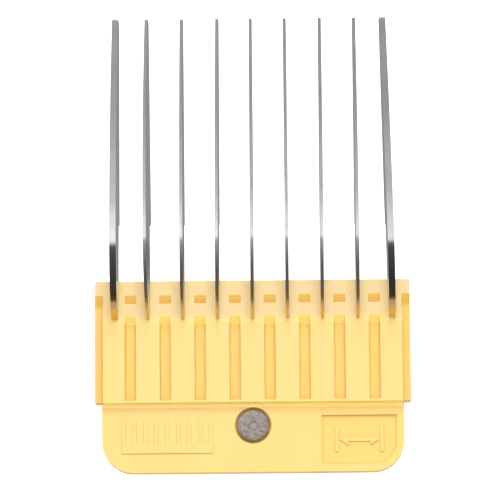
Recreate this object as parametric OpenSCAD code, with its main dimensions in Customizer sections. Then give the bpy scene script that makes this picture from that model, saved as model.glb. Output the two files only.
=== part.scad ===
// Clipper guard comb: nine steel tines moulded into a plastic body that snaps onto a detachable clipper
// blade. The blade's flat face rests on the plane z = 0 under the body. +X is to the right, +Y points
// along the tines to their tips, and +Z is the side that slides on the skin.

/* [Clipper blade] */
// Width of the clipper blade that the channels take
blade_w = 49.2; // [46:0.1:52]
// Thickness of the clipper blade
blade_t = 2.4; // [2:0.1:2.6]
// Play of the blade in the channels, at each side
blade_play = 0.2; // [0.1:0.05:0.4]

/* [Body] */
// Length of the block and of the side channels
block_l = 20.3; // [19:0.1:21]
// Height of the top of the block above the blade
block_h = 4; // [3.8:0.1:5]
// Height of the side flanges and of the groove floors above the blade
floor_h = 2.3; // [2:0.1:2.6]
// Height of the front edge above the blade
front_h = 1.4; // [1.2:0.1:1.6]
// Length of the ramp from the front edge to the top of the block
ramp_l = 7.25; // [6:0.05:8]
// Thickness of the outer wall of each side channel
wall_t = 1.2; // [1:0.1:1.6]
// Length of the rear plate behind the block
plate_l = 11.65; // [11.4:0.05:14]
// Height of the rear plate's top above the blade
plate_h = 2.8; // [2.7:0.1:3.2]
// Corner radius of the rear plate
plate_r = 5.1; // [4:0.1:7]

/* [Tines] */
// Number of tines
tines = 9; // [5:2:9]
// Distance between neighbouring tines
pitch = 5.741; // [5.5:0.001:5.8]
// Thickness of an inner tine
tine_t = 0.55; // [0.4:0.05:0.8]
// Thickness of the two outer tines
outer_tine_t = 1.1; // [0.5:0.05:1.2]
// Height of the skin edge above the blade, which sets the length of the hair
cut_h = 11.7; // [9:0.1:13]
// Distance of the tips from the middle of the side channels
tip_y = 53.9; // [48:0.1:58]
// Depth of the square tip
tip_d = 2.7; // [2:0.1:3.5]
// Radius of the long skin edge, from the crown to the tip
skin_r = 90; // [80:1:110]
// Radius of the short skin edge, from the crown down to the body
heel_r = 14.3; // [13.5:0.1:16]

/* [Clip] */
// Thickness of the spring steel
clip_t = 0.4; // [0.3:0.05:0.5]
// Width of each of the two hooked fingers
finger_w = 4; // [3:0.5:5]
// Half of the gap between the fingers, which clears the socket of the blade
finger_gap = 9; // [7:0.5:9]
// Radius of the rivet's head
rivet_r = 2.62; // [2.2:0.01:2.7]

/* [Hidden] */
$fn = 64;
eps = 0.01;

// Body: x and y places from the blade's width and the lengths above
channel_w = blade_w / 2 + blade_play;
half_w = channel_w + wall_t;
block_w = channel_w - 0.15;
front_y = block_l / 2;
rear_y = -block_l / 2;
block_rear_y = rear_y - 0.2;
plate_y = rear_y - plate_l;
crest_y = front_y - ramp_l;
flange_y = front_y - ramp_l * (floor_h - front_h) / (block_h - front_h);
plate_under = 0.2;
fillet_r = 0.7;

// Side channels below the seat
slot_h = blade_t + 0.2;
lip_w = 1;
lip_t = 1;
lip_l = 9;
wall_low = slot_h + lip_t;
wall_rear_low = 1.2;
wall_cut_l = 6;
relief_w = 1.3;
relief_d = 0.3;

// Grooves and pockets, midway between the tines
groove_w = 1.7;
groove_rear_y = block_rear_y + 0.4;
groove_front_y = crest_y + 1.4;
groove_slope_l = 1.6;
rib_round = 0.2;
pocket_w = 1.9;
pocket_l = 1.42;

// Marks on the rear plate
panel_x = [11.3, block_w - 1.1];
panel_y = [plate_y + 1.25, rear_y - 2.35];
panel_d = 0.3;
panel_r = plate_r - 1.3;
mark_h = 0.15;
mark_w = 15;
mark_x = 21.6;
mark_y = -18.6;

// Tines: places in the side view
crown_y = 16.2;
shoulder_y = 20;
shoulder_low = -2.2;
shoulder_high = 1.4;
root_y = -1.5;
root_low = 0.7;
root_high = 3.3;
anchor_r = 0.8;
// Small sideways errors of the tines' places, in mm
tine_shift = [0.3, 0.05, 0.05, 0.05, 0.05, 0.08, 0.07, 0.17, 0.1];
// Small bends left by use, in degrees: turned about the upright axis, and leant sideways
tine_turn = [-0.25, 0.15, 0, -0.2, 0, 0.12, 0, 0.15, 1.2];
tine_lean = [0, -1.5, 0, 0, 0.4, 0, 0, 0, 0];

// Rivet, and the clip's side view from the foot round the bend to the arm
rivet_y = -14.1;
head_top = plate_h - 0.05;
bore_floor = head_top - 0.75;
bore_r = 2.98;
shank_r = 1.5;
shank_play = 0.05;
tail_r = 2.3;
tail_t = 0.7;
recess_top = 1.3;
clip_w = finger_gap + finger_w;
clip_play = 0.3;
foot_z = recess_top - clip_t / 2;
foot_front_y = -11.2;
cross_bar_l = 2.4;
bend_r = 1.35;
bend_y = -18.9;
bend_z = foot_z - bend_r;
arm_z = bend_z - bend_r;
leg_y = -12.65;
nose_reach = 0.7;
nose_z = -blade_t - 0.55;
tab_l = 1.9;

function even_x(n) = (n - (tines + 1) / 2) * pitch;
function tine_x(n) = even_x(n) + tine_shift[n - 1];
function tine_thickness(n) = (n == 1 || n == tines) ? outer_tine_t : tine_t;
function gap_x(n) = even_x(n) + pitch / 2;

// Points from y0 to y1 along the upper arc of radius r about [cy, cz]
function arc_over(cy, cz, r, y0, y1, steps) = [
    for (i = [0 : steps])
        let (y = y0 + (y1 - y0) * i / steps)
        [y, cz + sqrt(r * r - (y - cy) * (y - cy))]
];

// Outline of a bent strip of thickness t whose middle line runs through the points p
function unit(v) = v / norm(v);
function across_seg(p, i) = let (d = unit(p[i + 1] - p[i])) [-d[1], d[0]];
function mitre(p, i) =
    let (a = across_seg(p, max(i - 1, 0)), b = across_seg(p, min(i, len(p) - 2)))
    (a + b) / (1 + a * b);
function strip(p, t) = concat(
    [for (i = [0 : len(p) - 1]) p[i] + mitre(p, i) * t / 2],
    [for (i = [len(p) - 1 : -1 : 0]) p[i] - mitre(p, i) * t / 2]
);

// Carries a side view, drawn as [y, z], sideways from x0 to x1
module across(x0, x1) {
    translate([x0, 0, 0])
        rotate([90, 0, 90])
            linear_extrude(x1 - x0)
                children();
}

// Carries a front view, drawn as [x, z], along Y from y0 to y1
module along(y0, y1) {
    translate([0, y1, 0])
        rotate([90, 0, 0])
            linear_extrude(y1 - y0)
                children();
}

// Carries a plan, drawn as [x, y], upwards from z0 to z1
module upright(z0, z1) {
    translate([0, 0, z0])
        linear_extrude(z1 - z0)
            children();
}

module block_profile() {
    polygon([
        [front_y, 0],
        [front_y, front_h],
        [crest_y, block_h],
        [rear_y, block_h],
        [rear_y, 0]
    ]);
}

// The block reaches a little further back than the side channels
module block_rear_profile() {
    translate([block_rear_y, plate_under])
        square([rear_y - block_rear_y + 1, block_h - plate_under]);
}

// Outer wall of a side channel; its lower rear corner is cut away so that the blade can swing in
module wall_profile() {
    polygon([
        [front_y, 0.4 - wall_low],
        [front_y, front_h / 2],
        [rear_y, front_h / 2],
        [rear_y, -wall_rear_low],
        [rear_y + wall_cut_l, -wall_low],
        [front_y - 0.4, -wall_low]
    ]);
}

// Lip under the blade's edge, with a sloping way in at its rear end
module lip_profile() {
    polygon([
        [front_y, 0.4 - wall_low],
        [front_y, -slot_h],
        [front_y - lip_l + 1, -slot_h],
        [front_y - lip_l, -slot_h - 0.6],
        [front_y - lip_l, -wall_low],
        [front_y - 0.4, -wall_low]
    ]);
}

module plate_plan() {
    translate([-channel_w, plate_y + plate_r])
        square([2 * channel_w, plate_l - plate_r + eps]);
    translate([-channel_w + plate_r, plate_y])
        square([2 * (channel_w - plate_r), plate_r + eps]);
    for (side = [-1, 1])
        translate([side * (channel_w - plate_r), plate_y + plate_r])
            circle(plate_r);
}

// Concave fillet where the rear plate meets the block
module fillet_profile() {
    difference() {
        translate([block_rear_y - fillet_r, plate_h - eps])
            square([fillet_r + eps, fillet_r + eps]);
        translate([block_rear_y - fillet_r, plate_h + fillet_r])
            circle(fillet_r);
    }
}

// A groove between two ribs: straight sides, with the ribs' top edges rounded off
module groove_profile() {
    translate([-groove_w / 2, floor_h])
        square([groove_w, block_h]);
    difference() {
        translate([-groove_w / 2 - rib_round, block_h - rib_round])
            square([groove_w + 2 * rib_round, 2 * rib_round]);
        for (side = [-1, 1])
            translate([side * (groove_w / 2 + rib_round), block_h - rib_round])
                circle(rib_round);
    }
}

// Side view of a groove, with a slope up to the ramp at its front end
module groove_side() {
    polygon([
        [groove_rear_y - 1, floor_h - 1],
        [groove_front_y - groove_slope_l, floor_h - 1],
        [groove_front_y - groove_slope_l, floor_h],
        [groove_front_y, block_h],
        [groove_rear_y - 1, block_h + 1]
    ]);
}

module panel_plan() {
    difference() {
        translate([panel_x[0], panel_y[0]])
            square([panel_x[1] - panel_x[0], panel_y[1] - panel_y[0]]);
        translate([panel_x[1] - panel_r, panel_y[0] - eps])
            square([panel_r + eps, panel_r + eps]);
    }
    translate([panel_x[1] - panel_r, panel_y[0] + panel_r])
        circle(panel_r);
}

// Plain dimension sign in the panel: two end bars with a double-headed arrow between them
module size_mark() {
    translate([(panel_x[0] + panel_x[1]) / 2, (panel_y[0] + panel_y[1]) / 2, plate_h - panel_d - eps])
        linear_extrude(mark_h + eps) {
            square([5, 0.6], center = true);
            for (side = [-1, 1]) {
                translate([side * 3.7, 0])
                    square([0.6, 4], center = true);
                polygon([[side * 3.2, 0], [side * 1.8, 1], [side * 1.8, -1]]);
            }
        }
}

// Plain picture of a comb, raised on the rear plate
module comb_mark() {
    translate([-mark_x, mark_y, plate_h - eps])
        linear_extrude(mark_h + eps) {
            square([mark_w, 1.4]);
            for (i = [0 : 8])
                translate([(mark_w - 0.6) * i / 8, 1.4 - eps])
                    square([0.6, 4.2]);
        }
}

// Space under the rear plate for the foot of the clip and for its bends
module clip_recess() {
    recess_y = bend_y - bend_r - clip_t / 2 - clip_play;
    upright(0, recess_top)
        translate([-clip_w - clip_play, recess_y])
            square([2 * (clip_w + clip_play), foot_front_y + clip_play - recess_y]);
}

module body() {
    color([0.99, 0.89, 0.56])
        difference() {
            union() {
                across(-half_w, half_w)
                    block_profile();
                across(-block_w, block_w)
                    block_rear_profile();
                for (side = [0, 1])
                    mirror([side, 0, 0]) {
                        across(channel_w, half_w)
                            wall_profile();
                        across(channel_w - lip_w, channel_w + eps)
                            lip_profile();
                    }
                upright(plate_under, plate_h)
                    plate_plan();
                across(-block_w, block_w)
                    fillet_profile();
                comb_mark();
            }
            for (n = [1 : tines - 1])
                translate([gap_x(n), 0, 0]) {
                    intersection() {
                        along(groove_rear_y, groove_front_y)
                            groove_profile();
                        across(-pitch / 2, pitch / 2)
                            groove_side();
                    }
                    translate([-pocket_w / 2, flange_y - pocket_l, floor_h])
                        cube([pocket_w, pocket_l, 1]);
                }
            for (side = [0, 1])
                mirror([side, 0, 0]) {
                    translate([block_w, rear_y - 1, floor_h])
                        cube([half_w, block_l + 2, block_h]);
                    translate([channel_w - relief_w, rear_y - 1, -1])
                        cube([relief_w, block_l + 2, 1 + relief_d]);
                }
            difference() {
                upright(plate_h - panel_d, plate_h + 1)
                    panel_plan();
                size_mark();
            }
            clip_recess();
            translate([0, rivet_y, bore_floor])
                cylinder(h = plate_h, r = bore_r);
            translate([0, rivet_y, 0])
                cylinder(h = plate_h, r = shank_r + shank_play);
            for (n = [1 : tines])
                tine(n);
        }
}

// Side view of a tine: skin edge over the crown, square tip, shoulder in front of the blade's
// teeth, and the root that the plastic is moulded round
module tine_profile() {
    skin_z = cut_h - skin_r;
    heel_z = cut_h - heel_r;
    heel_y = crown_y - sqrt(heel_r * heel_r - (root_high - heel_z) * (root_high - heel_z));
    tip_z = skin_z + sqrt(skin_r * skin_r - (tip_y - crown_y) * (tip_y - crown_y));
    difference() {
        polygon(concat(
            [
                [root_y, root_high],
                [root_y, root_low],
                [shoulder_y, shoulder_high],
                [shoulder_y, shoulder_low],
                [tip_y, tip_z - tip_d]
            ],
            arc_over(crown_y, skin_z, skin_r, tip_y, crown_y, 24),
            arc_over(crown_y, heel_z, heel_r, crown_y - 0.5, heel_y, 24)
        ));
        translate([root_y + 1.7, (root_low + root_high) / 2])
            circle(anchor_r);
    }
}

module tine(n) {
    color([0.72, 0.72, 0.71])
        translate([tine_x(n), crest_y, block_h])
            rotate([0, tine_lean[n - 1], tine_turn[n - 1]])
                translate([0, -crest_y, -block_h])
                    across(-tine_thickness(n) / 2, tine_thickness(n) / 2)
                        tine_profile();
}

// Flat-headed rivet; its tail is set against the foot of the clip
module rivet() {
    foot_low = recess_top - clip_t;
    color([0.62, 0.6, 0.57])
        translate([0, rivet_y, 0])
            rotate_extrude()
                polygon([
                    [0, foot_low - tail_t],
                    [tail_r - 0.5, foot_low - tail_t],
                    [tail_r, foot_low - tail_t + 0.3],
                    [tail_r, foot_low],
                    [shank_r, foot_low],
                    [shank_r, bore_floor],
                    [rivet_r, bore_floor],
                    [rivet_r, head_top - 0.12],
                    [rivet_r - 0.12, head_top],
                    [0.66, head_top],
                    [0.58, head_top - 0.06],
                    [0, head_top - 0.06]
                ]);
}

// Riveted end of the clip
module clip_foot() {
    color([0.66, 0.67, 0.69])
        upright(foot_z - clip_t / 2, foot_z + clip_t / 2)
            difference() {
                translate([-clip_w, bend_y])
                    square([2 * clip_w, foot_front_y - bend_y]);
                translate([-finger_gap, bend_y - eps])
                    square([2 * finger_gap, cross_bar_l - 1]);
                translate([0, rivet_y])
                    circle(shank_r + shank_play);
            }
}

// The two half-round bends that flex
module clip_bend() {
    color([0.66, 0.67, 0.69])
        for (side = [0, 1])
            mirror([side, 0, 0])
                across(finger_gap, clip_w)
                    translate([bend_y, bend_z])
                        difference() {
                            circle(bend_r + clip_t / 2);
                            circle(bend_r - clip_t / 2);
                            translate([0, -2 * bend_r])
                                square(4 * bend_r);
                        }
}

// Moving end of the clip: a cross bar and two fingers, each with a leg behind the blade, a nose
// that hooks under its rear edge, and a tab that is pushed back to let it go
module clip_arm() {
    finger = [
        [bend_y, arm_z],
        [leg_y - 0.25, arm_z],
        [leg_y, arm_z - 0.25],
        [leg_y, nose_z + nose_reach],
        [leg_y + nose_reach, nose_z],
        [leg_y + nose_reach - tab_l / sqrt(2), nose_z - tab_l / sqrt(2)]
    ];
    color([0.66, 0.67, 0.69]) {
        upright(arm_z - clip_t / 2, arm_z + clip_t / 2)
            translate([-clip_w, bend_y])
                square([2 * clip_w, cross_bar_l]);
        for (side = [0, 1])
            mirror([side, 0, 0])
                across(finger_gap, clip_w)
                    polygon(strip(finger, clip_t));
    }
}

body();
for (n = [1 : tines])
    tine(n);
rivet();
clip_foot();
clip_bend();
clip_arm();
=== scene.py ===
# %% [markdown]
# # A clipper guard comb
#
# The comb is a moulded plastic body with nine thin steel tines set on edge in it, a steel rivet, and a
# hairpin spring clip that the rivet holds under the rear plate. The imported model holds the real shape
# and size of each part, so this lesson only adds what a part has after it leaves the tool room:
# softened edges, surface texture, wear, and light to see them in.

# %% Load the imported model
import math

import bmesh
import bpy
import numpy as np
from mathutils import Matrix, Vector


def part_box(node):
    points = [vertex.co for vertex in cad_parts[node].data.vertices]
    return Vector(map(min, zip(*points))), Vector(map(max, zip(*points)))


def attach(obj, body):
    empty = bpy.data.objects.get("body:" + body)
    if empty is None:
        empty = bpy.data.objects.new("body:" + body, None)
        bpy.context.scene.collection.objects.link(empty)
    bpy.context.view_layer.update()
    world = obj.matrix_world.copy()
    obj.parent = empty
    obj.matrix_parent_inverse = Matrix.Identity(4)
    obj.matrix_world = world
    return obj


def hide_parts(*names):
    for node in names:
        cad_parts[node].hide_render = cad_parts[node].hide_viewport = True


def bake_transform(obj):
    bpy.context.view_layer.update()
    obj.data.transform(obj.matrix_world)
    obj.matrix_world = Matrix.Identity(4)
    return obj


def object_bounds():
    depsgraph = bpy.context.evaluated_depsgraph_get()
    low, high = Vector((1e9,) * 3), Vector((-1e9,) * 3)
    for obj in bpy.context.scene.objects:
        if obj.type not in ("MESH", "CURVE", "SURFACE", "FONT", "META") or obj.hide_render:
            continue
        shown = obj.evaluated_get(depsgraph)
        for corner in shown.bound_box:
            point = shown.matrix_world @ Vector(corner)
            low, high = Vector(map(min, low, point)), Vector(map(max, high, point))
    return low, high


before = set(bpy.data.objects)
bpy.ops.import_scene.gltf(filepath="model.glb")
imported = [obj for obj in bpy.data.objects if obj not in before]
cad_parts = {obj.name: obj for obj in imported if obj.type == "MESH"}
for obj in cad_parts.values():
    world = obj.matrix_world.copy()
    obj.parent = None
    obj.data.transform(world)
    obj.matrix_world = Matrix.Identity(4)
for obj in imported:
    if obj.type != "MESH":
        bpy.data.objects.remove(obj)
cad_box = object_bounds()
MM = 0.001
body_low, body_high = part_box("body")
print("nodes:", sorted(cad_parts))
print("body in mm:", [round(v / MM, 2) for v in (*body_low, *body_high)])

# %% [markdown]
# ## Camera
#
# The comb is seen from almost straight above its skin side, from a little behind the rear plate, with
# a long lens. A long lens keeps the nine tines nearly parallel. The camera could be placed by hand, but
# building its three axes from a pitch, a yaw and a roll says in plain numbers where it stands.

# %% Camera
CAMERA_DISTANCE = 640 * MM
CAMERA_PITCH = math.radians(8.4)
CAMERA_YAW = math.radians(0.66)
CAMERA_ROLL = math.radians(0.46)
LOOK_AT = Vector((-0.32, 15.43, 0)) * MM
LENS_MM = 277.6


def camera_axes(pitch, yaw, roll):
    """Right, up and backward axes: backward leans from straight up towards -Y by pitch and towards +X
    by yaw, and the other two turn about it by roll."""
    back = Vector((math.sin(yaw) * math.cos(pitch), -math.sin(pitch), math.cos(pitch) * math.cos(yaw)))
    back.normalize()
    up = (Vector((0, 1, 0)) - back * back.y).normalized()
    right = up.cross(back)
    return (
        right * math.cos(roll) - up * math.sin(roll),
        right * math.sin(roll) + up * math.cos(roll),
        back,
    )


right, up, back = camera_axes(CAMERA_PITCH, CAMERA_YAW, CAMERA_ROLL)
camera = bpy.data.objects.new("camera", bpy.data.cameras.new("camera"))
bpy.context.scene.collection.objects.link(camera)
camera.data.lens = LENS_MM
camera.data.clip_start = 10 * MM
stand = Matrix.Translation(LOOK_AT + back * CAMERA_DISTANCE)
camera.matrix_world = stand @ Matrix((right, up, back)).transposed().to_4x4()
bpy.context.scene.camera = camera
bpy.context.scene.view_settings.view_transform = "Standard"
print("camera stands at", [round(v, 3) for v in camera.matrix_world.translation])

# %% [markdown]
# ## Writing a material as sums
#
# A material is a graph of nodes. Wiring it by hand takes a line for each link, so a small class wraps a
# socket and lets Python's own + - * add the Math nodes. Anything else comes from one function, `node`,
# which sets a node's own settings first and then its sockets.


# %% Shader expressions
class Wire:
    """One output socket of a shader tree that can be used in sums."""

    def __init__(self, tree, socket):
        self.tree = tree
        self.socket = socket

    def math(self, operation, *values):
        return node(self.tree, "ShaderNodeMath", {"operation": operation}, dict(enumerate(values)))

    def __add__(self, other):
        return self.math("ADD", self, other)

    def __sub__(self, other):
        return self.math("SUBTRACT", self, other)

    def __mul__(self, other):
        return self.math("MULTIPLY", self, other)

    def __rsub__(self, other):
        return self.math("SUBTRACT", other, self)

    __radd__ = __add__
    __rmul__ = __mul__

    def size(self):
        return self.math("ABSOLUTE", self)

    def step(self, low, high):
        """0 below low and 1 above high, with a smooth rise between; swap them for a fall."""
        ends = {1: low, 2: high, 3: 0.0, 4: 1.0} if low <= high else {1: high, 2: low, 3: 1.0, 4: 0.0}
        return node(self.tree, "ShaderNodeMapRange", {"interpolation_type": "SMOOTHSTEP"}, {0: self, **ends})

    def near(self, middle, inner, outer):
        """1 within inner of middle, falling smoothly to 0 at outer from it."""
        return (self - middle).size().step(outer, inner)


def node(tree, kind, settings=None, values=None, out=0):
    """A new node: its settings first, then the values or links of its input sockets."""
    new = tree.nodes.new(kind)
    for name, value in (settings or {}).items():
        setattr(new, name, value)
    for key, value in (values or {}).items():
        if isinstance(value, Wire):
            tree.links.new(value.socket, new.inputs[key])
        else:
            new.inputs[key].default_value = value
    return Wire(tree, new.outputs[out])


# %% [markdown]
# A few small functions name the nodes that every finish below needs. Patterns are read from the point's
# place on the object, in metres, so they stay on the surface when the object turns or is exported.


# %% Places, colours and noise
def object_place(tree):
    """The point's place on the object, in metres."""
    return node(tree, "ShaderNodeTexCoord", out=3)


def split(vector):
    """The x, y and z of a vector."""
    return [node(vector.tree, "ShaderNodeSeparateXYZ", None, {0: vector}, out=axis) for axis in range(3)]


def distance(place, centre):
    """How far the place is from the centre."""
    return node(place.tree, "ShaderNodeVectorMath", {"operation": "DISTANCE"}, {0: place, 1: centre}, out=1)


def stretched(place, factors):
    """The place with each axis multiplied, which draws a noise out into streaks."""
    return node(place.tree, "ShaderNodeVectorMath", {"operation": "MULTIPLY"}, {0: place, 1: factors})


def noise(place, scale, detail=3.0, roughness=0.5):
    """Soft random values from 0 to 1; scale is in waves per metre."""
    values = {"Vector": place, "Scale": scale, "Detail": detail, "Roughness": roughness}
    return node(place.tree, "ShaderNodeTexNoise", None, values)


def blend_colour(factor, first, second):
    """A colour that goes from first to second with factor."""
    return node(factor.tree, "ShaderNodeMix", {"data_type": "RGBA"}, {0: factor, 6: first, 7: second}, out=2)


def layered(colour, *layers):
    """The colour with each layer (how much of it, its colour) laid over the ones before."""
    for factor, paint in layers:
        colour = blend_colour(factor, colour, paint)
    return colour


# %% Normals and materials
def soft_edges(tree, radius):
    """A normal that turns smoothly across each edge within radius of it."""
    return node(tree, "ShaderNodeBevel", {"samples": 8}, {"Radius": radius})


def bump(height, depth, normal=None):
    """A normal that follows height, where a height of 1 stands depth metres proud."""
    values = {"Height": height, "Distance": depth, "Strength": 1.0}
    if normal is not None:
        values["Normal"] = normal
    return node(height.tree, "ShaderNodeBump", None, values)


def new_material(name, finish):
    """A material whose shader's sockets are set from what finish(tree) returns."""
    material = bpy.data.materials.new(name)
    material.use_nodes = True
    tree = material.node_tree
    shader = tree.nodes["Principled BSDF"]
    for key, value in finish(tree).items():
        if isinstance(value, Wire):
            tree.links.new(value.socket, shader.inputs[key])
        else:
            shader.inputs[key].default_value = value
    print("material", name, "has", len(tree.nodes), "nodes")
    return material


# %% [markdown]
# ## Butter-yellow plastic
#
# The body is one injection moulding in a warm, slightly translucent plastic. Three things keep it from
# looking like flat paint. Light that enters it comes out warmer where the wall is thin or the light has
# bounced, and this is painted into the colour as warm painted shade: the groove floors, the recessed
# panel and the side flanges are painted more orange and darker than the top. The ramp came from a
# frosted part of the mould, so it scatters more light and looks like cream. And the mould leaves a very
# fine orange-peel, with faint flow marks and the rub marks of use on the high places.
#
# Each shade needs a mask that says where it goes. The parts of a moulding lie at known heights and
# places, so most masks are a few smooth steps along x, y or z, or along how far a face looks up, which
# is 1 on a level face and 0 on a wall. A pair below says where a mask starts and where it is full.

# %% Shades of the plastic, and where they go
BUTTER = (0.92, 0.655, 0.24, 1)
AMBER = (0.94, 0.58, 0.11, 1)
ORANGE = (0.93, 0.50, 0.065, 1)
CREAM = (0.715, 0.545, 0.29, 1)
# painted shade for the side flanges, which sit low beside the block
FLANGE_SHADE = (0.70, 0.49, 0.14, 1)
# painted shade for the pockets at the front and the upright walls
DEEP_SHADE = (0.68, 0.385, 0.05, 1)
# painted shade for the gap round the rivet head
GAP_SHADE = (0.50, 0.22, 0.035, 1)
# painted light for thin walls that light comes through
GLOW = (1.0, 0.74, 0.20, 1)
DARK = (0, 0, 0, 1)

FLOOR_Z = 2.3 * MM
PANEL_Z = 2.5 * MM
NOTCH_Y = -10.7 * MM
BEHIND_RAMP = (8.0 * MM, 7.5 * MM)
ON_RAMP = (2.7 * MM, 4.7 * MM)
ON_BLOCK = (3.0 * MM, 2.6 * MM)
BEHIND_CREST = (3.6 * MM, 2.6 * MM)
FRONT_RECESS = (5.2 * MM, 6.2 * MM)
RECESS_FRONT = (7.2 * MM, 6.6 * MM)
ON_PLATE = (-11.0 * MM, -11.6 * MM)
ON_MARKS = (-11.6 * MM, -12.2 * MM)
ON_PANEL = (-11.5 * MM, -12.0 * MM)
BESIDE_BLOCK = (24.55 * MM, 24.75 * MM)
INSIDE_RIM = (25.7 * MM, 25.4 * MM)
NOTCH_TOP = (2.7 * MM, 2.85 * MM)
GROOVE_END_REAR = (2.0 * MM, 2.5 * MM)
GROOVE_END_FRONT = (4.8 * MM, 4.4 * MM)
LEVEL_FACE = (0.955, 0.985)
RAMP_SLOPE = (0.6, 0.8)
END_SLOPE_STEEP = (0.60, 0.66)
END_SLOPE_FLAT = (0.80, 0.74)
WALL_FACE = (0.5, 0.2)
print("rear plate begins at", round(ON_PLATE[1] / MM, 1), "mm")

# %% [markdown]
# Two masks can't be read from a place. Shade and warm bounced light gather in nooks, wherever they are,
# so a painted orange shade is laid there, and an Ambient Occlusion node finds them by how much open sky
# a point has; it also finds the painted shade round the foot of the recessed panel. The groove ends and
# the notch behind the block are thin walls with light behind them, so they are painted a bright glow
# colour as painted light, and a weak emission stands for the light that comes through.

# %% Masks of the body
rivet_low, rivet_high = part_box("rivet")
rivet_axis = (rivet_low + rivet_high) / 2
RING_CENTRE = (rivet_axis.x, rivet_axis.y, 2.4 * MM)
RING_EDGE = (3.3 * MM, 3.0 * MM)


def body_masks(tree, place):
    """Where each shade goes, by name: 1 on that part of the moulding and 0 elsewhere."""
    x, y, z = split(place)
    upright = split(node(tree, "ShaderNodeNewGeometry", out=1))[2]
    open_sky = node(tree, "ShaderNodeAmbientOcclusion", {"samples": 12}, {"Distance": 1.1 * MM}, out=1)
    level = upright.step(*LEVEL_FACE)
    floor = z.near(FLOOR_Z, 0.05 * MM, 0.2 * MM) * level * y.step(*BEHIND_RAMP)
    panel = z.near(PANEL_Z, 0.04 * MM, 0.12 * MM) * level * y.step(*ON_PANEL)
    flange = floor * x.size().step(*BESIDE_BLOCK)
    notch = y.near(NOTCH_Y, 0.2 * MM, 0.5 * MM) * z.step(*NOTCH_TOP)
    groove_end = upright.step(*END_SLOPE_STEEP) * upright.step(*END_SLOPE_FLAT)
    groove_end = groove_end * y.step(*GROOVE_END_REAR) * y.step(*GROOVE_END_FRONT)
    ring = distance(place, RING_CENTRE).step(*RING_EDGE)
    return {
        "floor": floor,
        "panel": panel,
        "flange": flange,
        # painted shade that the block throws on the inner side of each flange
        "flange_rim_shade": flange * x.size().step(*INSIDE_RIM),
        # painted shade in the pockets at the front
        "front_recess_shade": floor * y.step(*FRONT_RECESS) * (0.85 + y.step(*RECESS_FRONT) * 0.15),
        "ramp": y.step(*ON_RAMP) * upright.step(*RAMP_SLOPE) * (1 - floor),
        "plate": y.step(*ON_PLATE),
        # painted shade on the upright walls behind the crest
        "wall": upright.size().step(*WALL_FACE) * y.step(*BEHIND_CREST),
        # painted shade in nooks, found by the Ambient Occlusion node
        "nook_shade": open_sky.step(0.92, 0.30) * y.step(*ON_BLOCK) * (1 - y.step(*ON_MARKS) * 0.6),
        # painted shade round the foot of the recessed panel
        "panel_outline_shade": open_sky.step(0.98, 0.75) * panel,
        # painted light where light comes through thin walls
        "lit_through": notch * 0.8 + groove_end,
        # painted shade in the gap round the rivet head
        "rivet_gap_shade": ring * z.step(2.75 * MM, 2.5 * MM) * z.step(1.8 * MM, 1.9 * MM),
    }


# %% Body plastic
EDGE_R = 0.16 * MM
PEEL_DEPTH = 0.006 * MM


def body_plastic(tree):
    place = object_place(tree)
    on = body_masks(tree, place)
    cloud = noise(place, 90.0, 4.0)
    flow = noise(stretched(place, (1.0, 0.25, 1.0)), 420.0, 3.0)
    colour = layered(
        BUTTER,
        (cloud.step(0.35, 0.7) * 0.15 + flow.step(0.3, 0.75) * 0.09, AMBER),
        (on["ramp"] * 0.8, CREAM),
        # painted warm shade on the groove floors and the recessed panel, and a little more amber on the rear
        # plate
        (on["floor"] * 0.5 + on["panel"] * 0.35 + on["plate"] * 0.15, AMBER),
        # painted shade on the side flanges, deeper on their inner side next to the block
        (on["flange"] * 0.6, FLANGE_SHADE),
        (on["flange_rim_shade"] * 0.25, ORANGE),
        # painted shade in the pockets at the front
        (on["front_recess_shade"], DEEP_SHADE),
        # painted shade in nooks
        (on["nook_shade"] * (0.6 - on["floor"] * 0.35), ORANGE),
        # painted shade on the upright walls
        (on["wall"] * 0.3, DEEP_SHADE),
        # painted shade round the foot of the panel
        (on["panel_outline_shade"] * 0.5, ORANGE),
        # painted light on the thin walls that light comes through
        (on["lit_through"], GLOW),
        # painted shade in the gap round the rivet
        (on["rivet_gap_shade"] * 0.6, GAP_SHADE),
    )
    rub = noise(stretched(place, (1.0, 6.0, 1.0)), 900.0, 5.0, 0.65)
    peel = noise(place, 2600.0, 2.0)
    frost = noise(place, 9000.0, 2.0)
    height = peel * 0.5 + rub * 0.25 + frost * on["ramp"] * 0.6
    return {
        "Base Color": colour,
        "Roughness": 0.30 + rub * 0.14 + on["ramp"] * 0.12,
        "Normal": bump(height, PEEL_DEPTH, soft_edges(tree, EDGE_R)),
        "Emission Color": blend_colour(on["lit_through"], DARK, GLOW),
        "Emission Strength": 0.28,
        "IOR": 1.5,
        "Subsurface Weight": 0.18,
        "Subsurface Radius": (1.0, 0.55, 0.2),
        "Subsurface Scale": 0.9 * MM,
    }


plastic = new_material("body_plastic", body_plastic)

# %% [markdown]
# ## Steel for the tines
#
# Each tine is stamped from stainless sheet and tumbled, so its edges are bright and slightly rounded and
# its flat sides keep the fine lines of the rolled sheet. Steel has almost no colour of its own: it shows
# its surroundings. So the finish is only a fairly smooth metal with streaks along the tine, and the
# bands of grey, white and black on it come from the light around it. Two places differ. The polish has
# worn dull on the crowns of the inner tines, where they rub most, and the root of each tine is tinted
# warm as a painted reflection of the yellow plastic that it stands in.

# %% Steel for the tines
STEEL = (0.66, 0.655, 0.64, 1)
STEEL_DULL = (0.50, 0.49, 0.47, 1)
# painted reflection of the yellow plastic, laid on the root of each tine
PLASTIC_REFLECTION = (0.86, 0.56, 0.20, 1)
AT_ROOT = (8.2 * MM, 7.0 * MM)
INNER_TINES = (21.0 * MM, 20.0 * MM)
WORN_REAR = (4.0 * MM, 9.0 * MM)
WORN_FRONT = (16.4 * MM, 15.0 * MM)


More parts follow.
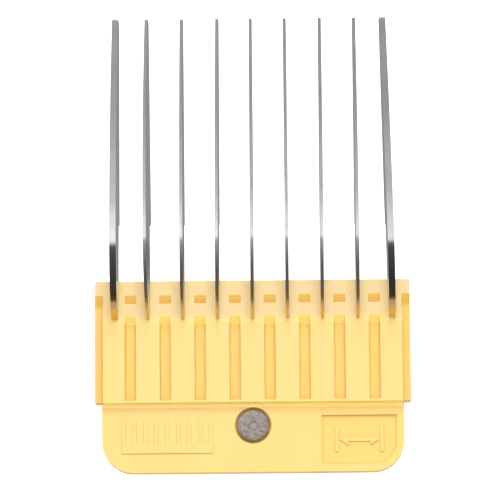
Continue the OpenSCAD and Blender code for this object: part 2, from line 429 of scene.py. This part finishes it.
def tine_steel(tree):
    place = object_place(tree)
    x, y, z = split(place)
    grain = noise(stretched(place, (8.0, 0.12, 1.0)), 5000.0, 4.0, 0.6)
    smudge = noise(place, 260.0, 4.0, 0.6)
    scratch = noise(stretched(place, (1.0, 0.06, 3.0)), 9000.0, 2.0).step(0.62, 0.74)
    worn = x.size().step(*INNER_TINES) * y.step(*WORN_FRONT) * y.step(*WORN_REAR)
    return {
        "Base Color": layered(
            STEEL,
            (smudge.step(0.45, 0.75) * 0.5, STEEL_DULL),
            # painted reflection of the plastic at the root
            (y.step(*AT_ROOT) * 0.9, PLASTIC_REFLECTION),
        ),
        "Metallic": 1.0,
        "Roughness": 0.07 + grain * 0.08 + smudge * 0.08 + worn * 0.34,
        "Normal": bump(grain * 0.6 + scratch * 0.4, 0.0006 * MM),
    }


steel = new_material("tine_steel", tine_steel)

# %% [markdown]
# ## Steel for the rivet and the clip
#
# The rivet is dull instead: its face is mottled and stained, with the mark of the setting punch in the
# middle, and its rolled rim is painted paler as a painted highlight. The clip is bright spring steel, with
# the lines of its rolled strip running across it.

# %% Steel for the rivet and the clip
PUNCH_CENTRE = (rivet_axis.x, rivet_axis.y, 2.7 * MM)
RIVET_DARK = (0.36, 0.32, 0.28, 1)
RIVET_PALE = (0.68, 0.63, 0.58, 1)
RIVET_STAIN = (0.24, 0.20, 0.16, 1)
PUNCH_FACE = (0.62, 0.57, 0.55, 1)
PUNCH_EDGE = (0.26, 0.23, 0.20, 1)
# painted highlight on the rolled rim of the rivet head
RIVET_RIM_HIGHLIGHT = (0.72, 0.68, 0.63, 1)
SPRING_STEEL = (0.63, 0.64, 0.66, 1)


def rivet_steel(tree):
    place = object_place(tree)
    mottle = noise(place, 1500.0, 5.0, 0.65)
    dents = noise(place, 3800.0, 3.0, 0.6)
    stain = noise(stretched(place, (1.0, 1.6, 1.0)), 900.0, 4.0).step(0.46, 0.70)
    reach = distance(place, PUNCH_CENTRE)
    punch = reach.step(0.85 * MM, 0.6 * MM)
    rim = reach.step(2.25 * MM, 2.5 * MM) * split(place)[2].step(2.5 * MM, 2.6 * MM)
    return {
        "Base Color": layered(
            RIVET_DARK,
            (mottle.step(0.3, 0.7), RIVET_PALE),
            (stain * 0.5, RIVET_STAIN),
            (punch * 0.55, PUNCH_FACE),
            (punch * reach.step(0.45 * MM, 0.65 * MM) * 0.7, PUNCH_EDGE),
            # painted highlight on the rim
            (rim * 0.4, RIVET_RIM_HIGHLIGHT),
        ),
        "Metallic": 0.85,
        "Roughness": 0.36 + mottle * 0.2,
        "Normal": bump(dents * 0.6 + mottle * 0.4, 0.025 * MM),
    }


def clip_steel(tree):
    place = object_place(tree)
    grain = noise(stretched(place, (0.1, 6.0, 6.0)), 4000.0, 4.0, 0.6)
    smudge = noise(place, 300.0, 4.0, 0.6)
    return {
        "Base Color": blend_colour(smudge.step(0.4, 0.8) * 0.4, SPRING_STEEL, STEEL_DULL),
        "Metallic": 1.0,
        "Roughness": 0.22 + grain * 0.14,
        "Normal": bump(grain, 0.001 * MM),
    }


rivet_metal = new_material("rivet_steel", rivet_steel)
spring_metal = new_material("clip_steel", clip_steel)

# %% [markdown]
# ## Softening the edges of a CAD part
#
# A CAD edge is perfectly sharp, and nothing real is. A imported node's mesh is loose triangles, so each
# part is copied, the copy's points are merged, and curved faces are shaded smooth up to the real edges.
# The tines are plain plates, so a Bevel modifier rounds their edges as the tumbling barrel did. The body
# has edges only tenths of a millimetre apart, where a modelled bevel would cross itself; there the
# material bends the normal near each edge instead, which catches the light in the same way.

# %% Softened copies of CAD parts
MERGE = 0.0005 * MM
FLAT_ANGLE = math.radians(0.2)
SMOOTH_ANGLE = math.radians(14)


def merged(name, node_name, material):
    """A copy of one CAD node with its points merged and its curved faces shaded smooth."""
    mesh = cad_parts[node_name].data.copy()
    mesh.name = name
    work = bmesh.new()
    work.from_mesh(mesh)
    bmesh.ops.remove_doubles(work, verts=work.verts, dist=MERGE)
    bmesh.ops.dissolve_limit(work, angle_limit=FLAT_ANGLE, verts=work.verts, edges=work.edges)
    work.to_mesh(mesh)
    work.free()
    if mesh.has_custom_normals:
        mesh.attributes.remove(mesh.attributes["custom_normal"])
    mesh.shade_smooth()
    mesh.set_sharp_from_angle(angle=SMOOTH_ANGLE)
    mesh.materials.clear()
    mesh.materials.append(material)
    piece = bpy.data.objects.new(name, mesh)
    bpy.context.scene.collection.objects.link(piece)
    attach(piece, "body")
    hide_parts(node_name)
    print(name, "has", len(mesh.polygons), "faces")
    return piece


def round_edges(piece, radius, segments, angle):
    """Rounds the piece's edges that are sharper than angle, in degrees."""
    rounding = piece.modifiers.new("rounded_edges", "BEVEL")
    rounding.width = radius
    rounding.segments = segments
    rounding.limit_method = "ANGLE"
    rounding.angle_limit = math.radians(angle)
    rounding.harden_normals = True


# %% [markdown]
# The flat sides of the tines would throw grey bounced light onto the ramp between them, which the real
# polished ones don't, so they are hidden from diffuse rays.

# %% Body and tines
TINE_EDGE_R = 0.045 * MM
merged("moulded_body", "body", plastic)
for tine_name in sorted(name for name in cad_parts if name.startswith("tine_")):
    tine = merged("steel_" + tine_name, tine_name, steel)
    round_edges(tine, TINE_EDGE_R, segments=3, angle=28)
    tine.visible_diffuse = False

# %% [markdown]
# ## The rivet
#
# A rivet is a turned part, so it is a profile spun about its axis: here a grid of points, one row for
# each step round. Its head is nearly flat, with a rolled rim and the round mark of the setting punch,
# and its tail is pressed over into a low dome under the clip.


# %% Meshes from grids of points
def sewn(name, points, faces, material):
    """A smooth mesh object whose doubled points are merged, whose unused points are dropped and whose
    faces point outwards."""
    mesh = bpy.data.meshes.new(name)
    mesh.from_pydata(points.reshape(-1, 3).tolist(), [], faces.tolist())
    work = bmesh.new()
    work.from_mesh(mesh)
    bmesh.ops.remove_doubles(work, verts=work.verts, dist=MERGE)
    bmesh.ops.delete(work, geom=[v for v in work.verts if not v.link_faces], context="VERTS")
    bmesh.ops.recalc_face_normals(work, faces=work.faces)
    work.to_mesh(mesh)
    work.free()
    mesh.shade_smooth()
    mesh.materials.append(material)
    piece = bpy.data.objects.new(name, mesh)
    bpy.context.scene.collection.objects.link(piece)
    return piece


def ring_cells(rows, turns):
    """The cells between rows of points that are each closed into a ring: each joins a point, the next
    one round, and the two under them."""
    index = np.arange(rows * turns).reshape(rows, turns)
    after = np.roll(index, -1, axis=1)
    return np.stack([index[:-1], after[:-1], after[1:], index[1:]], axis=-1).reshape(-1, 4)


# %% Profiles
def rounded(corners, radius, steps=5):
    """A polyline with each inner corner replaced by an arc: points of the quadratic curve that leaves
    one side and joins the next, radius away from the corner or half the shorter side if that is less."""
    corners = np.asarray(corners, float)
    path = [corners[:1]]
    t = np.linspace(0, 1, steps)[:, None]
    for before, here, after in zip(corners[:-2], corners[1:-1], corners[2:]):
        back_way, on_way = before - here, after - here
        reach = min(radius, np.linalg.norm(back_way) * 0.49, np.linalg.norm(on_way) * 0.49)
        start = here + back_way / np.linalg.norm(back_way) * reach
        end = here + on_way / np.linalg.norm(on_way) * reach
        path.append((1 - t) ** 2 * start + 2 * t * (1 - t) * here + t**2 * end)
    path.append(corners[-1:])
    return np.vstack(path)


def spun(profile, centre, turns=72):
    """Points of a profile (radius, height) spun about the upright line through centre."""
    angle = np.arange(turns) * 2 * np.pi / turns
    ring = np.stack([np.cos(angle), np.sin(angle)], axis=-1)
    flat = profile[:, 0, None, None] * ring + np.asarray(centre[:2], float)
    heights = np.broadcast_to(profile[:, 1, None, None], (*flat.shape[:2], 1))
    return np.concatenate([flat, heights], axis=-1)


# %% Rivet
foot_low, foot_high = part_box("clip_foot")
HEAD_R = (rivet_high.x - rivet_low.x) / 2
HEAD_T = 0.75 * MM
SHANK_R = 1.5 * MM
TAIL_R = 2.3 * MM
PUNCH_R = 0.66 * MM
PUNCH_DEPTH = 0.06 * MM
head_under = rivet_high.z - HEAD_T
rivet_profile = rounded(
    [
        (0, rivet_high.z - PUNCH_DEPTH),
        (PUNCH_R - 0.08 * MM, rivet_high.z - PUNCH_DEPTH),
        (PUNCH_R, rivet_high.z - 0.01 * MM),
        (HEAD_R - 0.22 * MM, rivet_high.z),
        (HEAD_R, rivet_high.z - 0.14 * MM),
        (HEAD_R, head_under),
        (SHANK_R, head_under),
        (SHANK_R, foot_low.z),
        (TAIL_R, foot_low.z),
        (TAIL_R - 0.05 * MM, rivet_low.z + 0.35 * MM),
        (TAIL_R - 0.8 * MM, rivet_low.z),
        (0, rivet_low.z),
    ],
    0.12 * MM,
)
rivet_points = spun(rivet_profile, rivet_axis)
rivet = sewn("steel_rivet", rivet_points, ring_cells(*rivet_points.shape[:2]), rivet_metal)
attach(rivet, "body")
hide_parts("rivet")
print("rivet head in mm:", round(2 * HEAD_R / MM, 2))

# %% [markdown]
# ## The spring clip
#
# The clip starts as a flat blank of thin spring steel. It is cut to shape, bent round into a hairpin,
# and its two fingers are formed into hooks. The model does the same: the blank is a grid of strips
# across the width, a path in the side view says where each line of the blank ends up, and Solidify
# gives the sheet its thickness. One sheet crosses the joint, so it bends there instead of breaking.

# %% Sizes of the clip
arm_low, arm_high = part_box("clip_arm")
SHEET_T = 0.4 * MM
FINGER_IN = 9 * MM
CROSS_BAR = 2.4 * MM
FOOT_SLOT = 1.4 * MM
HOLE_HALF = 2.4 * MM
LEG_Y = -12.65 * MM
NOSE_REACH = 0.7 * MM
NOSE_Z = -2.95 * MM
TAB_STEP = 1.9 * MM / math.sqrt(2)
FINGER_BEND_R = 0.35 * MM
clip_half = foot_high.x
bend_y = foot_low.y
foot_z = (foot_low.z + foot_high.z) / 2
arm_z = arm_high.z - SHEET_T / 2
bend_r = (foot_z - arm_z) / 2
print("clip bend radius in mm:", round(bend_r / MM, 2))


# %% Path and blank of the clip
def clip_path():
    """Side view of the clip's middle line as (y, z): along the foot, half round the bend, along the
    arm, down the leg, out to the nose and back along the tab, with soft bends between. After it come
    the rows where the bend starts and ends, and the number of rows of the cross bar."""
    turn = np.linspace(math.pi / 2, 3 * math.pi / 2, 21)
    foot = np.linspace([foot_high.y, foot_z], [bend_y, foot_z], 16)[:-1]
    bend = np.stack([bend_y + bend_r * np.cos(turn), foot_z - bend_r + bend_r * np.sin(turn)], axis=-1)
    bar = np.linspace([bend_y, arm_z], [bend_y + CROSS_BAR, arm_z], 5)[1:]
    finger = rounded(
        [
            (bend_y + CROSS_BAR, arm_z),
            (LEG_Y, arm_z),
            (LEG_Y, NOSE_Z + NOSE_REACH),
            (LEG_Y + NOSE_REACH, NOSE_Z),
            (LEG_Y + NOSE_REACH - TAB_STEP, NOSE_Z - TAB_STEP),
        ],
        FINGER_BEND_R,
    )[1:]
    return np.vstack([foot, bend, bar, finger]), len(foot), len(foot) + len(bend), len(bar)


def clip_blank():
    """Points in rows along the path and columns across the width, and two masks of its cells: those
    kept, and the square left out for the rivet. The slot between the two bends and the gap between the
    fingers are cut out too."""
    path, bend_start, bend_end, bar_rows = clip_path()
    outer = np.linspace(FINGER_IN, clip_half, 7)
    inner = np.linspace(HOLE_HALF, FINGER_IN, 7)[:-1]
    middle = np.linspace(-HOLE_HALF, HOLE_HALF, 9)[1:-1]
    across = np.concatenate([-outer[::-1], -inner[::-1], middle, inner, outer])
    points = np.empty((len(path), len(across), 3))
    points[..., 0] = across
    points[..., 1:] = path[:, None, :]
    row = np.arange(len(path) - 1)
    row_y = (path[:-1, 0] + path[1:, 0]) / 2
    column_x = np.abs(across[:-1] + across[1:]) / 2
    on_foot = row < bend_start
    in_slot = ~on_foot & (row < bend_end - 1) | on_foot & (row_y < bend_y + FOOT_SLOT)
    in_gap = row >= bend_end + bar_rows - 1
    between = (in_slot | in_gap)[:, None] & (column_x < FINGER_IN)[None, :]
    at_rivet = on_foot & (np.abs(row_y - rivet_axis.y) < HOLE_HALF)
    square = at_rivet[:, None] & (column_x < HOLE_HALF)[None, :]
    return points, ~(between | square), square


blank, kept, square = clip_blank()
index = np.arange(blank[..., 0].size).reshape(blank.shape[:2])
blank_cells = np.stack([index[:-1, :-1], index[1:, :-1], index[1:, 1:], index[:-1, 1:]], axis=-1)[kept]
print("clip blank:", blank.shape[0], "rows,", blank.shape[1], "columns,", len(blank_cells), "cells kept")

# %% [markdown]
# The rivet's hole is the one round thing in the blank. A square of cells was left out for it, and a ring
# of cells fills the square up to the circle: each ring point lies on the line from the square's rim to
# the hole's centre.


# %% Rivet hole
def hole_ring(points, square, radius, steps=4):
    """Rows of points from the rim of the left-out square to a circle, in equal steps along the line to
    the centre."""
    found = np.argwhere(square)
    (top, left), (bottom, right) = found.min(0), found.max(0) + 1
    rim = np.concatenate(
        [
            points[top, left:right],
            points[top:bottom, right],
            points[bottom, right:left:-1],
            points[bottom:top:-1, left],
        ]
    )
    centre = np.array([rivet_axis.x, rivet_axis.y, foot_z])
    way = rim - centre
    circle = centre + way / np.linalg.norm(way, axis=1, keepdims=True) * radius
    t = np.linspace(0, 1, steps + 1)[:, None, None]
    return rim * (1 - t) + circle * t


HOLE_PLAY = 0.05 * MM
ring = hole_ring(blank, square, SHANK_R + HOLE_PLAY)
print("rivet hole in mm:", round(2 * (SHANK_R + HOLE_PLAY) / MM, 2))

# %% Finished clip
clip = sewn(
    "spring_clip",
    np.vstack([blank.reshape(-1, 3), ring.reshape(-1, 3)]),
    np.vstack([blank_cells, ring_cells(*ring.shape[:2]) + index.size]),
    spring_metal,
)
sheet = clip.modifiers.new("sheet", "SOLIDIFY")
sheet.thickness = SHEET_T
sheet.offset = 0
sheet.use_even_offset = True
round_edges(clip, 0.05 * MM, segments=2, angle=50)
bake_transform(clip)
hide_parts("clip_foot", "clip_bend", "clip_arm")
print("clip reaches down to", round(arm_low.z / MM, 2), "mm")

# %% [markdown]
# ## Floor
#
# The floor is a pale sheet that glows a little, as a light table does, so the shadows stay faint. It is
# clear from below, so the underside of the comb can be looked at too.

# %% Floor
FLOOR_GAP = 0.05 * MM
FLOOR_HALF = 1.5
floor_z = cad_box[0][2] - FLOOR_GAP
floor_mesh = bpy.data.meshes.new("floor")
corners = np.array([(-1, -1), (1, -1), (1, 1), (-1, 1)]) * FLOOR_HALF
floor_mesh.from_pydata(np.insert(corners, 2, floor_z, axis=1).tolist(), [], [(0, 1, 2, 3)])
floor = bpy.data.objects.new("floor", floor_mesh)
bpy.context.scene.collection.objects.link(floor)


def pale_sheet(tree):
    cloud = noise(object_place(tree), 12.0)
    backfacing = node(tree, "ShaderNodeNewGeometry", out=6)
    return {
        "Base Color": blend_colour(cloud, (0.86, 0.86, 0.86, 1), (0.90, 0.90, 0.90, 1)),
        "Roughness": 0.8,
        "Alpha": 1 - backfacing,
        "Emission Color": (1, 1, 1, 1),
        "Emission Strength": 0.68,
    }


floor_mesh.materials.append(new_material("pale_floor", pale_sheet))
floor.visible_glossy = False
print("floor at", round(floor_z / MM, 2), "mm")

# %% [markdown]
# ## Sky
#
# Steel shows what is round it, so the sky is planned for the tines. Each one is curved, so its tip
# mirrors the sky low ahead, its crown mirrors the sky overhead, and its short heel the sky behind. The
# sky is mid grey low ahead and bright overhead, which gives the tines their slow change from grey at the
# tips to white at the crown. Behind it is dark, which turns the heels black. It is also a little darker
# to the right, and grey below the horizon. The angle `lean` is measured ahead from straight up, in
# degrees, and the camera itself sees only an even pale sky.

# %% Sky
AHEAD_GLOW = 0.54
MID_GLOW = 0.28
CROWN_GLOW = 0.8
REAR_GLOW = 0.07
REAR_RISE = 0.05
RIGHT_SHADE = 0.26
GROUND_GLOW = 0.40
GROUND_REAR_GLOW = 0.32
SEEN_GLOW = 0.95
world = bpy.data.worlds.new("studio")
bpy.context.scene.world = world
world.use_nodes = True
sky = world.node_tree
sky.nodes.clear()
aside, ahead, overhead = split(node(sky, "ShaderNodeTexCoord", out=0))
lean = ahead.math("ARCTAN2", ahead, overhead) * (180 / math.pi)
front_glow = AHEAD_GLOW + lean.step(40.0, 22.0) * MID_GLOW + lean.step(20.0, 8.0) * CROWN_GLOW
rear_glow = REAR_GLOW + lean.step(-55.0, -4.0) * REAR_RISE
air = (front_glow * lean.step(-3.5, 1.0) + rear_glow) * (1 - aside.step(-0.01, 0.05) * RIGHT_SHADE)
ground = GROUND_GLOW + ahead.step(-0.5, -0.9) * GROUND_REAR_GLOW
below = overhead.step(0.16, 0.06)
to_camera = node(sky, "ShaderNodeLightPath", out=0)
strength = to_camera * SEEN_GLOW + (1 - to_camera) * (air * (1 - below) + ground * below)
background = node(sky, "ShaderNodeBackground", None, {"Strength": strength})
output = sky.nodes.new("ShaderNodeOutputWorld")
sky.links.new(background.socket, output.inputs["Surface"])
print("sky has", len(sky.nodes), "nodes")

# %% [markdown]
# ## Lights
#
# Four large soft lamps add shape to the plastic without showing in the steel. Most of them lie in the
# plane of the tines, so the thin plates throw no broad shadow on the ramp between them.


# %% Lights
def soft_light(name, place, width, length, power):
    """An oblong lamp, in metres and watts, that faces the comb, its length in the plane of the tines."""
    lamp = bpy.data.objects.new(name, bpy.data.lights.new(name, "AREA"))
    bpy.context.scene.collection.objects.link(lamp)
    lamp.data.shape = "RECTANGLE"
    lamp.data.size = width
    lamp.data.size_y = length
    lamp.data.energy = power
    lamp.location = place
    lamp.rotation_euler = (LOOK_AT - Vector(place)).to_track_quat("-Z", "Y").to_euler()
    lamp.visible_glossy = False


soft_light("right", (0.40, 0.22, 0.60), width=0.4, length=0.4, power=0.5)
soft_light("overhead", (0.02, 0.15, 0.85), width=0.25, length=0.7, power=1.4)
soft_light("ahead", (0.02, 0.75, 0.60), width=0.2, length=0.5, power=5.6)
soft_light("behind", (0.05, -0.42, 0.75), width=0.5, length=0.5, power=2.5)
